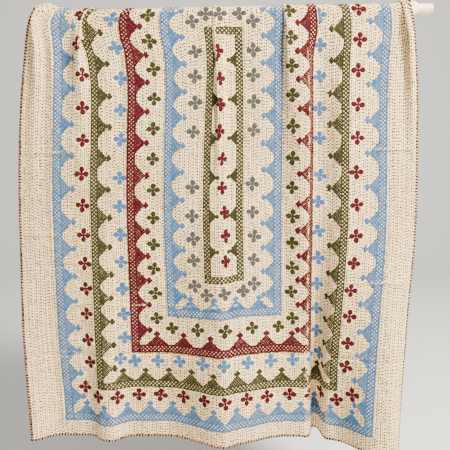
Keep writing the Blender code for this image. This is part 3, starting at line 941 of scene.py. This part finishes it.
# ---- sizes and colours a user may set
class ClothSettings(bpy.types.PropertyGroup):
    """The quilt's mesh and cloth colours."""

    column_spacing: FloatProperty(name="Column spacing", description="Mesh spacing across",
                                  default=0.0088, min=0.004, unit="LENGTH")
    row_spacing: FloatProperty(name="Row spacing", description="Mesh spacing down the front",
                               default=0.0134, min=0.004, unit="LENGTH")
    colour: FloatVectorProperty(name="Cotton", description="Colour of the cream cotton",
                                subtype="COLOR", size=3, default=(0.98, 0.75, 0.40))
    shaded: FloatVectorProperty(name="Aged cotton", description="Colour of its darker patches",
                                subtype="COLOR", size=3, default=(0.91, 0.65, 0.32))


class ThreadSettings(bpy.types.PropertyGroup):
    """Thread sizes and colours."""

    height: FloatProperty(name="Height", description="How far a laid thread stands up",
                          default=0.0013, unit="LENGTH")
    seed: IntProperty(name="Unevenness", description="Number that sets the hand's unevenness",
                      default=11)
    blue: FloatVectorProperty(name="Blue", description="Sky blue thread",
                              subtype="COLOR", size=3, default=(0.042, 0.118, 0.240))
    olive: FloatVectorProperty(name="Olive", description="Olive green thread",
                               subtype="COLOR", size=3, default=(0.027, 0.026, 0.005))
    maroon: FloatVectorProperty(name="Maroon", description="Maroon and red thread",
                                subtype="COLOR", size=3, default=(0.060, 0.0006, 0.004))
    grey: FloatVectorProperty(name="Grey", description="Grey thread",
                              subtype="COLOR", size=3, default=(0.058, 0.056, 0.050))
    dark: FloatVectorProperty(name="Dark stitch", description="Dark running stitches",
                              subtype="COLOR", size=3, default=(0.008, 0.005, 0.004))
    warm: FloatVectorProperty(name="Warm stitch", description="Orange and pink running stitches",
                              subtype="COLOR", size=3, default=(0.170, 0.036, 0.012))


class WoodSettings(bpy.types.PropertyGroup):
    """The painted rod and brackets."""

    paint: FloatVectorProperty(name="Paint", description="Cream paint on the rod and brackets",
                               subtype="COLOR", size=3, default=(0.95, 0.80, 0.50))
    sides: IntProperty(name="Sides", description="Sides of each turned piece", default=64, min=16)


class StageSettings(bpy.types.PropertyGroup):
    """Floor, lights and camera."""

    floor: FloatVectorProperty(name="Floor", description="Colour of the floor and backdrop",
                               subtype="COLOR", size=3, default=(0.70, 0.70, 0.68))
    drop: FloatProperty(name="Floor below rod", description="How far the floor is below the rod",
                        default=1.86, unit="LENGTH")
    key_power: FloatProperty(name="Key light", description="Power of the large upper light",
                             default=1180.0, unit="POWER")
    fill_power: FloatProperty(name="Fill light", description="Power of the front light",
                              default=40.0, unit="POWER")
    room_light: FloatProperty(name="Room light", description="Strength of the even room light",
                              default=0.72)


# Shared by the operators: the cloth's surface, the paint and the finished soft pieces.
workshop = {"embroidery": []}


def the_cloth():
    """The quilt's surface, worked out once."""
    if "cloth" not in workshop:
        sizes = bpy.context.scene.kantha_cloth
        workshop["cloth"] = ClothSurface(sizes.column_spacing, sizes.row_spacing)
    return workshop["cloth"]


def tones(colour, spread):
    """Darker, plain and lighter tones of one thread colour."""
    dark = tuple(c * (1 - spread) for c in colour)
    light = tuple(min(1.0, c * (1 + spread) + 0.01) for c in colour)
    return dark, tuple(colour), light


# ---- the quilt
class KANTHA_OT_cloth(bpy.types.Operator):
    """Build the hanging cloth as one closed sheet of even thickness"""

    bl_idname = "kantha.cloth"
    bl_label = "Quilt cloth"

    def execute(self, context):
        cloth = the_cloth()
        colours = context.scene.kantha_cloth
        half = cloth.normals * THICKNESS / 2
        outer, inner = cloth.points + half, cloth.points - half
        rows, columns = outer.shape[:2]
        count = rows * columns
        number = np.arange(count).reshape(rows, columns)
        a, b, c, d = number[:-1, :-1], number[:-1, 1:], number[1:, 1:], number[1:, :-1]
        faces = [np.stack([a, d, c, b], axis=-1).reshape(-1, 4),
                 np.stack([a, b, c, d], axis=-1).reshape(-1, 4) + count]
        for line in (number[0, :], number[:, -1], number[-1, ::-1], number[::-1, 0]):
            rim = [line[:-1], line[1:], line[1:] + count, line[:-1] + count]
            faces.append(np.stack(rim, axis=-1))
        uv = np.stack(np.meshgrid(cloth.u, MIDDLE_OF_CLOTH - cloth.length), axis=-1)
        vertices = np.concatenate([outer.reshape(-1, 3), inner.reshape(-1, 3)])
        material = cotton_material(tuple(colours.colour), tuple(colours.shaded))
        quilt = new_object("quilt_cloth", vertices, np.concatenate(faces), material,
                           np.tile(uv.reshape(-1, 2), (2, 1)))
        workshop["quilt"] = finish_piece(quilt, "quilt", "quilt")
        return {"FINISHED"}


def placed(paths, u, v, du, dv, scale, squeeze=1.0):
    """Local (a, b) paths set down with b along (du, dv) at a place on the cloth."""
    a, b = paths[0] * scale * squeeze, paths[1] * scale
    return u + a * dv + b * du, v - a * du + b * dv


def lay_threads(name, paths, material, random):
    """A piece of threads laid on both faces, from (u, v, half width) paths of any steps."""
    height = bpy.context.scene.kantha_thread.height
    made = []
    for steps in sorted({path[0].shape[1] for path in paths}):
        chosen = [path for path in paths if path[0].shape[1] == steps]
        u, v = (np.concatenate([path[n] for path in chosen]) for n in (0, 1))
        half = np.concatenate([np.full((len(path[0]), 1), path[2]) for path in chosen])
        u, v = (places + random.normal(0.0, WOBBLE, u.shape) for places in (u, v))
        for face in (1, -1):
            keep = np.ones(len(u), bool) if face > 0 else (v.max(axis=1) < UNDERSIDE_SHOWS)
            rise = height * random.uniform(0.75, 1.15, (keep.sum(), 1))
            wide = half[keep] * random.uniform(0.88, 1.12, (keep.sum(), 1))
            made.append(strands(u[keep], v[keep], wide, rise, face, random.random()))
    thread_piece(name, made, material)


class KANTHA_OT_openwork(bpy.types.Operator):
    """Stitch the five frames of crossed threads with their spires"""

    bl_idname = "kantha.openwork"
    bl_label = "Openwork frames"

    def execute(self, context):
        threads = context.scene.kantha_thread
        random = np.random.default_rng(threads.seed)
        fill, sides, knob = spire_paths()
        by_colour = {}
        for name, (half, below, above, width, colour) in FRAMES.items():
            paths = by_colour.setdefault(colour, [])
            wide = {use: value * FULLNESS[colour] for use, value in LAID.items()}
            for stitch, use, steps, inset in ((band_lattice, "lattice", 5, width),
                                              (band_outline, "outline", 2, 0.0)):
                a, b = straight_paths(stitch(-half, half, width), steps)
                paths += [(a, -below + b, wide[use]), (a, above - b, wide[use])]
                a, b = straight_paths(stitch(-below + inset, above - inset, width), steps)
                paths += [(-half + b, a, wide[use]), (half - b, a, wide[use])]
            for u, v, du, dv, scale in spire_places(name):
                scale = scale * random.uniform(*SIZES)
                for local, use in ((fill, "spire"), (sides, "side"), (knob, "knob")):
                    paths.append((*placed(local, u, v, du, dv, scale), wide[use]))
        for colour, paths in by_colour.items():
            material = thread_material(colour + "_thread", tones(getattr(threads, colour), 0.30))
            lay_threads("openwork_" + colour, paths, material, random)
        return {"FINISHED"}


class KANTHA_OT_crosses(bpy.types.Operator):
    """Stitch the rings of four-petalled crosses and the middle row"""

    bl_idname = "kantha.crosses"
    bl_label = "Crosses"

    def execute(self, context):
        threads = context.scene.kantha_thread
        random = np.random.default_rng(threads.seed + 1)
        loops, ribs = petal_paths(PETAL_REACH, PETAL_HALF_WIDTH)
        by_colour = {}
        for u, v, squeeze, colour in cross_places():
            u, v = u + random.normal(0, CROSS_SHIFT), v + random.normal(0, CROSS_SHIFT)
            turn = random.normal(0, CROSS_TURN)
            scale = random.uniform(*SIZES)
            for local, use in ((loops, "petal"), (ribs, "rib")):
                by_colour.setdefault(colour, []).append(
                    (*placed(local, u, v, sin(turn), cos(turn), scale, squeeze), LAID[use]))
        for colour, paths in by_colour.items():
            colour_set = getattr(threads, {"red": "maroon"}.get(colour, colour))
            material = thread_material(colour + "_cross_thread", tones(colour_set, 0.22))
            lay_threads("crosses_" + colour, paths, material, random)
        return {"FINISHED"}


# The tones that each kind of running stitch is picked from, as shares of its set colour.
DARK_TONES = ((1, 1, 1), (1.8, 2.0, 2.2), (1, 1, 1), (3.0, 2.2, 1.6), (0.8, 1, 1.3))
WARM_TONES = ((0.45, 0.7, 1), (0.12, 0.3, 0.8), (0.2, 0.4, 1), (1.3, 1.8, 1),
              (0.15, 0.3, 0.8), (0.35, 0.6, 1))


class KANTHA_OT_running_stitches(bpy.types.Operator):
    """Quilt the cloth with lengthwise rows of running stitch on both faces"""

    bl_idname = "kantha.running_stitches"
    bl_label = "Running stitches"

    def execute(self, context):
        threads = context.scene.kantha_thread
        random = np.random.default_rng(threads.seed + 2)
        low, high = CLOTH_LOW + SIDE_MARGIN, CLOTH_HIGH - SIDE_MARGIN
        columns = np.arange(LEFT_SIDE + 0.007, RIGHT_SIDE - SIDE_MARGIN, STITCH_COLUMNS)
        columns = columns[:, None]
        start = random.random(len(columns))[:, None]
        pitch = STITCH_PITCH * random.uniform(0.94, 1.08, len(columns))[:, None]
        v = low + (np.arange(int((high - low) / STITCH_PITCH))[None, :] + start) * pitch
        v = v + random.normal(0, SEED_SHIFT, v.shape)
        drift = ROW_DRIFT * np.sin(v * 9 + start * 40)
        u = columns + drift + random.normal(0, WOBBLE, v.shape)
        dark = (np.arange(len(columns)) % 2 == 0)[:, None] ^ (random.random(u.shape) < 0.10)
        for name, chosen, half_width, colour, shares in (
            ("running_stitches_dark", dark, DARK_HALF_WIDTH, threads.dark, DARK_TONES),
            ("running_stitches_warm", ~dark, WARM_HALF_WIDTH, threads.warm, WARM_TONES),
        ):
            made = []
            for face, shift in ((1, 0.0), (-1, STITCH_PITCH / 2)):
                pu, pv = u[chosen], v[chosen] + shift
                keep = (pv < high) & ~off_the_cloth(pu, pv) & ~in_closed_pleat(pu, pv)
                keep &= ~under_embroidery(pu, pv)
                if face < 0:
                    keep &= pv < UNDERSIDE_SHOWS
                pu, pv = pu[keep], pv[keep]
                lean = random.normal(0, 0.10, len(pu))
                half_length = random.uniform(*SEED_HALF_LENGTHS, len(pu))
                made.append(seeds(pu, pv, half_length, half_width, lean, face))
            colours = [tinted(colour, share) for share in shares]
            thread_piece(name, made, thread_material(name + "_thread", colours, True))
        return {"FINISHED"}


# Each wrap of the whipped edge runs from the front face over the edge to the back: share of
# its inset, lift, slant, and how far it stands out beyond the edge.
WRAP = ((1.0, 0.0004, -1.0, 0.0), (0.5, 0.0018, -0.6, 0.0), (0.02, 0.0016, -0.15, 0.0006),
        (-0.18, -THICKNESS / 2, 0.0, 0.0010), (0.02, 0.0016, 0.15, 0.0006),
        (0.5, 0.0018, 0.6, 0.0), (1.0, 0.0004, 1.0, 0.0))
WRAP_TURNS = 3
WRAP_SLANT = 0.0030
WRAP_HALF_WIDTH = 0.0036
WRAP_DEPTH = 0.0010
WRAP_INSETS = (0.0070, 0.0095)


class KANTHA_OT_edge_stitch(bpy.types.Operator):
    """Whip the cut edge all round with slanted stitches in two colours"""

    bl_idname = "kantha.edge_stitch"
    bl_label = "Edge stitch"

    def execute(self, context):
        threads = context.scene.kantha_thread
        random = np.random.default_rng(threads.seed + 3)
        corners = ((LEFT_SIDE, CLOTH_LOW), (LEFT_SIDE, CLOTH_HIGH), (RIGHT_SIDE, CLOTH_HIGH),
                   (RIGHT_SIDE, CLOTH_LOW), (LEFT_SIDE, CLOTH_LOW))
        found = []
        for start, end in zip(corners, corners[1:]):
            way = np.subtract(end, start)
            length = np.hypot(*way)
            share = (np.arange(int(length / WHIP_PITCH)) + 0.5) * WHIP_PITCH / length
            spots = start + way * share[:, None]
            found.append(np.column_stack([spots, np.tile(way / length, (len(share), 1))]))
        u, v, along_u, along_v = np.concatenate(found).T
        shown = ~in_closed_pleat(u + along_v * HEM_MARGIN, v - along_u * HEM_MARGIN)
        u, v, along_u, along_v = u[shown], v[shown], along_u[shown], along_v[shown]
        in_u, in_v = along_v, -along_u
        inset = random.uniform(*WRAP_INSETS, len(u))

        def point(inwards, aside, lift, face):
            """Points by the edge, so far in from it and along it."""
            return on_cloth(u + in_u * inwards + along_u * aside,
                            v + in_v * inwards + along_v * aside, lift, face)

        sections = []
        for step, (share, lift, lean, beyond) in enumerate(WRAP):
            face = 1 if step <= WRAP_TURNS else -1
            inwards, aside = inset * max(share, 0), WRAP_SLANT * lean
            middle = point(inwards, aside, lift, face)
            half = point(inwards, aside + WRAP_HALF_WIDTH, lift, face) - middle
            outward = middle - point(inwards + 0.003, aside, lift, face)
            outward /= np.linalg.norm(outward, axis=1, keepdims=True)
            under = point(inwards, aside, lift - WRAP_DEPTH, face)
            middle = middle + outward * beyond
            if step == WRAP_TURNS:
                under = middle - outward * WRAP_DEPTH
            sections.append(np.stack([under + half, middle, under - half], axis=1))
        steps = len(WRAP)
        number = np.where(np.arange(len(u)) % 2 == 0, 0.2, 0.7)
        number = np.repeat(number + random.uniform(0, 0.25, len(u)), steps * 3)
        run = np.tile(np.repeat(np.linspace(0, 0.012, steps), 3), len(u))
        colours = [tuple(threads.dark), (0.020, 0.008, 0.006),
                   tinted(threads.maroon, (1.6, 12, 4)), tinted(threads.maroon, (3.4, 50, 9))]
        wraps = (np.stack(sections, axis=1).reshape(-1, 3), roof_faces(len(u), steps),
                 np.stack([run, number], axis=-1))
        thread_piece("edge_stitches", [wraps], thread_material("edge_thread", colours, True))
        return {"FINISHED"}


# ---- rod and brackets
def start_clean(item=None):
    """Deselect everything before modelling a piece, then pick the piece to work on, if any."""
    if bpy.context.mode != "OBJECT":
        bpy.ops.object.mode_set(mode="OBJECT")
    bpy.ops.object.select_all(action="DESELECT")
    if item:
        item.select_set(True)
        bpy.context.view_layer.objects.active = item


def select_end(item, place, axis):
    """In edit mode, select only the flat end of a turned piece at a place on its axis."""
    bpy.ops.object.mode_set(mode="OBJECT")
    mesh = item.data
    for elements in (mesh.vertices, mesh.edges, mesh.polygons):
        elements.foreach_set("select", np.zeros(len(elements), dtype=bool))
    for polygon in mesh.polygons:
        if polygon.normal.dot(axis) > 0.99 and abs((polygon.center - place).dot(axis)) < 1e-5:
            polygon.select = True
            for index in polygon.vertices:
                mesh.vertices[index].select = True
    bpy.ops.object.mode_set(mode="EDIT")
    bpy.ops.mesh.select_mode(type="FACE")


def turned_piece(name, profile, place, axis):
    """A turned piece: a cylinder slice extruded and resized station by station.

    The profile is a list of (distance along the axis from the place, radius).
    """
    start_clean()
    axis, place = Vector(axis), Vector(place)
    (first, foot), (reach, radius) = profile[:2]
    depth = reach - first
    bpy.ops.mesh.primitive_cone_add(vertices=bpy.context.scene.kantha_wood.sides, radius1=foot,
                                    radius2=radius, depth=depth,
                                    location=place + axis * (first + depth / 2),
                                    rotation=axis.to_track_quat("Z", "Y").to_euler())
    item = bpy.context.active_object
    item.name = item.data.name = name
    bpy.ops.object.transform_apply(location=True, rotation=True, scale=True)
    for distance, new_radius in profile[2:]:
        select_end(item, place + axis * reach, axis)
        bpy.ops.mesh.extrude_region_move(
            TRANSFORM_OT_translate={"value": axis * (distance - reach)})
        share = new_radius / radius
        bpy.ops.transform.resize(value=(share, share, share),
                                 center_override=place + axis * distance)
        reach, radius = distance, new_radius
    bpy.ops.object.mode_set(mode="OBJECT")
    if "paint" not in workshop:
        paint = tuple(bpy.context.scene.kantha_wood.paint)
        workshop["paint"] = painted_wood_material(paint)
    item.data.materials.clear()
    item.data.materials.append(workshop["paint"])
    return item


def shade(item):
    """Smooth shading that keeps sharp corners."""
    start_clean(item)
    bpy.ops.object.shade_smooth_by_angle(angle=radians(35))
    return item


def round_over(end, radius, rounding, steps):
    """Profile stations round the corner from a turned side to its end face."""
    turns = [n / steps * pi / 2 for n in range(steps + 1)]
    return [(end - rounding + rounding * sin(turn), radius - rounding + rounding * cos(turn))
            for turn in turns]


class KANTHA_OT_rod(bpy.types.Operator):
    """Turn the rod and its two end caps"""

    bl_idname = "kantha.rod"
    bl_label = "Rod and caps"

    def execute(self, context):
        first, last = ROD_LOW[0], ROD_HIGH[0]
        ends = ROD_RADIUS - CHAMFER
        stations = [(first, ends), (first + CHAMFER, ROD_RADIUS)]
        stations += [(first + (last - first) * n / 12, ROD_RADIUS) for n in range(1, 12)]
        stations += [(last - CHAMFER, ROD_RADIUS), (last, ends)]
        rod = turned_piece("painted_rod", stations, (0.0, -ROD_FROM_WALL, 0.0), (1, 0, 0))
        finish_piece(shade(rod), "rod", "rod")
        for node, hand in (("end_cap_left", -1), ("end_cap_right", 1)):
            low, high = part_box(node)
            radius, length = (high[2] - low[2]) / 2, high[0] - low[0]
            profile = [(0.0, radius - 0.0006), (0.0006, radius)]
            profile += round_over(length, radius, 0.0026, 5)
            profile.append((length + FACE_STEP, 0.5 * radius))
            start = (low[0] if hand > 0 else high[0], -ROD_FROM_WALL, 0.0)
            cap = turned_piece(node + "_turned", profile, start, (hand, 0, 0))
            finish_piece(shade(cap), "end_cap", node)
        return {"FINISHED"}


class KANTHA_OT_brackets(bpy.types.Operator):
    """Turn one wall bracket, bore it for the rod and set up both"""

    bl_idname = "kantha.brackets"
    bl_label = "Wall brackets"

    def execute(self, context):
        neck, front = HEAD_BACK - 0.004, HEAD_FRONT - 0.0004
        profile = [(0.0, PLATE_RADIUS)]
        profile += round_over(PLATE_THICKNESS, PLATE_RADIUS, 0.003, 4)
        profile += [(PLATE_THICKNESS + FACE_STEP, ARM_RADIUS + 0.004),
                    (PLATE_THICKNESS + 0.003, ARM_RADIUS + 0.0015),
                    (PLATE_THICKNESS + 0.010, ARM_RADIUS), (neck - 0.004, ARM_RADIUS),
                    (neck - 0.001, NECK_RADIUS + 0.0006), (neck, NECK_RADIUS),
                    (HEAD_BACK, NECK_RADIUS)]
        profile += [(HEAD_BACK + FACE_STEP - distance, radius) for distance, radius
                    in reversed(round_over(0.0, HEAD_RADIUS, HEAD_ROUNDING, 6))]
        profile.append((front - HEAD_ROUNDING - 0.004, HEAD_RADIUS))
        profile += round_over(front, HEAD_RADIUS, HEAD_ROUNDING, 6)
        bracket = turned_piece("bracket_turned", profile, (0, 0, 0), (0, -1, 0))
        start_clean()
        bpy.ops.mesh.primitive_cylinder_add(vertices=context.scene.kantha_wood.sides,
                                            radius=ROD_RADIUS + 0.0004, depth=0.1,
                                            location=(0, -ROD_FROM_WALL, 0),
                                            rotation=(0, pi / 2, 0))
        bore = context.active_object
        bpy.ops.object.transform_apply(location=True, rotation=True, scale=True)
        start_clean(bracket)
        cut = bracket.modifiers.new("rod_bore", "BOOLEAN")
        cut.operation, cut.object, cut.solver = "DIFFERENCE", bore, "EXACT"
        bpy.ops.object.modifier_apply(modifier=cut.name)
        soften = bracket.modifiers.new("bore_edge", "BEVEL")
        soften.width, soften.segments, soften.limit_method = 0.0006, 2, "ANGLE"
        soften.angle_limit = radians(50)
        bpy.ops.object.modifier_apply(modifier=soften.name)
        bpy.data.objects.remove(bore)
        shade(bracket)
        for node, place in (("bracket_left", 0.0), ("bracket_right", BRACKET_SPACING)):
            copy = bracket.copy()
            copy.data = bracket.data.copy()
            copy.name = copy.data.name = node + "_turned"
            context.scene.collection.objects.link(copy)
            copy.data.transform(Matrix.Translation((place, 0, 0)))
            finish_piece(copy, "bracket", node)
        bpy.data.objects.remove(bracket)
        return {"FINISHED"}


# ---- floor, lights and camera
class KANTHA_OT_stage(bpy.types.Operator):
    """Set a plain pale floor and backdrop, soft lights and the camera"""

    bl_idname = "kantha.stage"
    bl_label = "Stage"

    def execute(self, context):
        stage = context.scene.kantha_stage
        turns = [n / 12 * pi / 2 for n in range(13)]
        profile = [(FLOOR_FRONT, -stage.drop)]
        profile += [(BACKDROP - SWEEP + SWEEP * sin(turn), -stage.drop + SWEEP - SWEEP * cos(turn))
                    for turn in turns]
        profile.append((BACKDROP, BACKDROP_TOP))
        vertices = [(x, y, z) for y, z in profile for x in BACKDROP_SIDES]
        faces = np.arange(len(profile) - 1)[:, None] * 2 + (0, 1, 3, 2)
        backdrop = new_object("floor_and_backdrop", vertices, faces,
                              backdrop_material(tuple(stage.floor)))
        backdrop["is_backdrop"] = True
        for name, place, aim, width, power, colour in (
            ("key_light", (3.6, -2.5, 2.3), (0.7, -0.1, -0.7), 1.3, stage.key_power,
             (1.0, 0.95, 0.87)),
            ("fill_light", (-1.6, -3.6, 0.2), (0.6, -0.1, -0.9), 2.6, stage.fill_power,
             (0.93, 0.96, 1.0)),
        ):
            light = bpy.data.lights.new(name, "AREA")
            light.size, light.energy, light.color = width, power, colour
            lamp = bpy.data.objects.new(name, light)
            lamp.location = place
            direction = Vector(aim) - Vector(place)
            lamp.rotation_euler = direction.to_track_quat("-Z", "Y").to_euler()
            context.scene.collection.objects.link(lamp)
        world = bpy.data.worlds.new("soft_room")
        world.use_nodes = True
        Shading(world.node_tree).fill(world.node_tree.nodes["Background"], {
            "Color": (1.0, 0.97, 0.93, 1.0), "Strength": stage.room_light})
        context.scene.world = world
        self.add_camera(context)
        return {"FINISHED"}

    def add_camera(self, context):
        """A camera a little below the rod's height, in front of the cloth's middle."""
        lens = bpy.data.cameras.new("view_from_the_room")
        lens.lens, lens.sensor_width, lens.sensor_fit = LENS, 36.0, "HORIZONTAL"
        camera = bpy.data.objects.new("view_from_the_room", lens)
        pitch, yaw, roll = (radians(angle) for angle in CAMERA_TURNS)
        right = Vector((cos(yaw), sin(yaw), 0))
        ahead = Vector((-sin(yaw) * cos(pitch), cos(yaw) * cos(pitch), -sin(pitch)))
        up = right.cross(ahead)
        matrix = Matrix((right * cos(roll) + up * sin(roll), up * cos(roll) - right * sin(roll),
                         -ahead)).transposed().to_4x4()
        matrix.translation = CAMERA_PLACE
        camera.matrix_world = matrix
        context.scene.collection.objects.link(camera)
        context.scene.camera = camera


# ---- panel, registration and run
class KANTHA_PT_panel(bpy.types.Panel):
    """Lists the quilt's pieces in the sidebar"""

    bl_idname = "KANTHA_PT_panel"
    bl_label = "Kantha quilt"
    bl_space_type = "VIEW_3D"
    bl_region_type = "UI"
    bl_category = "Quilt"

    def draw(self, context):
        for settings, _group in GROUPS:
            group = getattr(context.scene, settings)
            box = self.layout.box()
            for name in group.__annotations__:
                box.prop(group, name)
        for operator in OPERATORS:
            self.layout.operator(operator.bl_idname)


GROUPS = (("kantha_cloth", ClothSettings), ("kantha_thread", ThreadSettings),
          ("kantha_wood", WoodSettings), ("kantha_stage", StageSettings))
OPERATORS = (KANTHA_OT_stage, KANTHA_OT_rod, KANTHA_OT_brackets, KANTHA_OT_cloth,
             KANTHA_OT_openwork, KANTHA_OT_crosses, KANTHA_OT_running_stitches,
             KANTHA_OT_edge_stitch)


def register():
    """Register the settings, the operators and the panel."""
    for name, group in GROUPS:
        bpy.utils.register_class(group)
        setattr(bpy.types.Scene, name, PointerProperty(type=group))
    for shown in (*OPERATORS, KANTHA_PT_panel):
        bpy.utils.register_class(shown)


def unregister():
    """Undo register()."""
    for shown in (KANTHA_PT_panel, *reversed(OPERATORS)):
        bpy.utils.unregister_class(shown)
    for name, group in reversed(GROUPS):
        delattr(bpy.types.Scene, name)
        bpy.utils.unregister_class(group)


def main():
    register()
    for operator in OPERATORS:
        family, name = operator.bl_idname.split(".")
        result = getattr(getattr(bpy.ops, family), name)()
        if result != {"FINISHED"}:
            raise RuntimeError("could not finish " + operator.bl_label)
    sizes = {"cad": plain_numbers(cad_bounds), "visual": plain_numbers(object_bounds())}


def plain_numbers(value):
    """Vectors and pairs of them as plain lists of numbers."""
    if isinstance(value, (list, tuple, Vector)):
        return [plain_numbers(v) for v in value]
    return float(value)


if __name__ == "__main__":
    main()
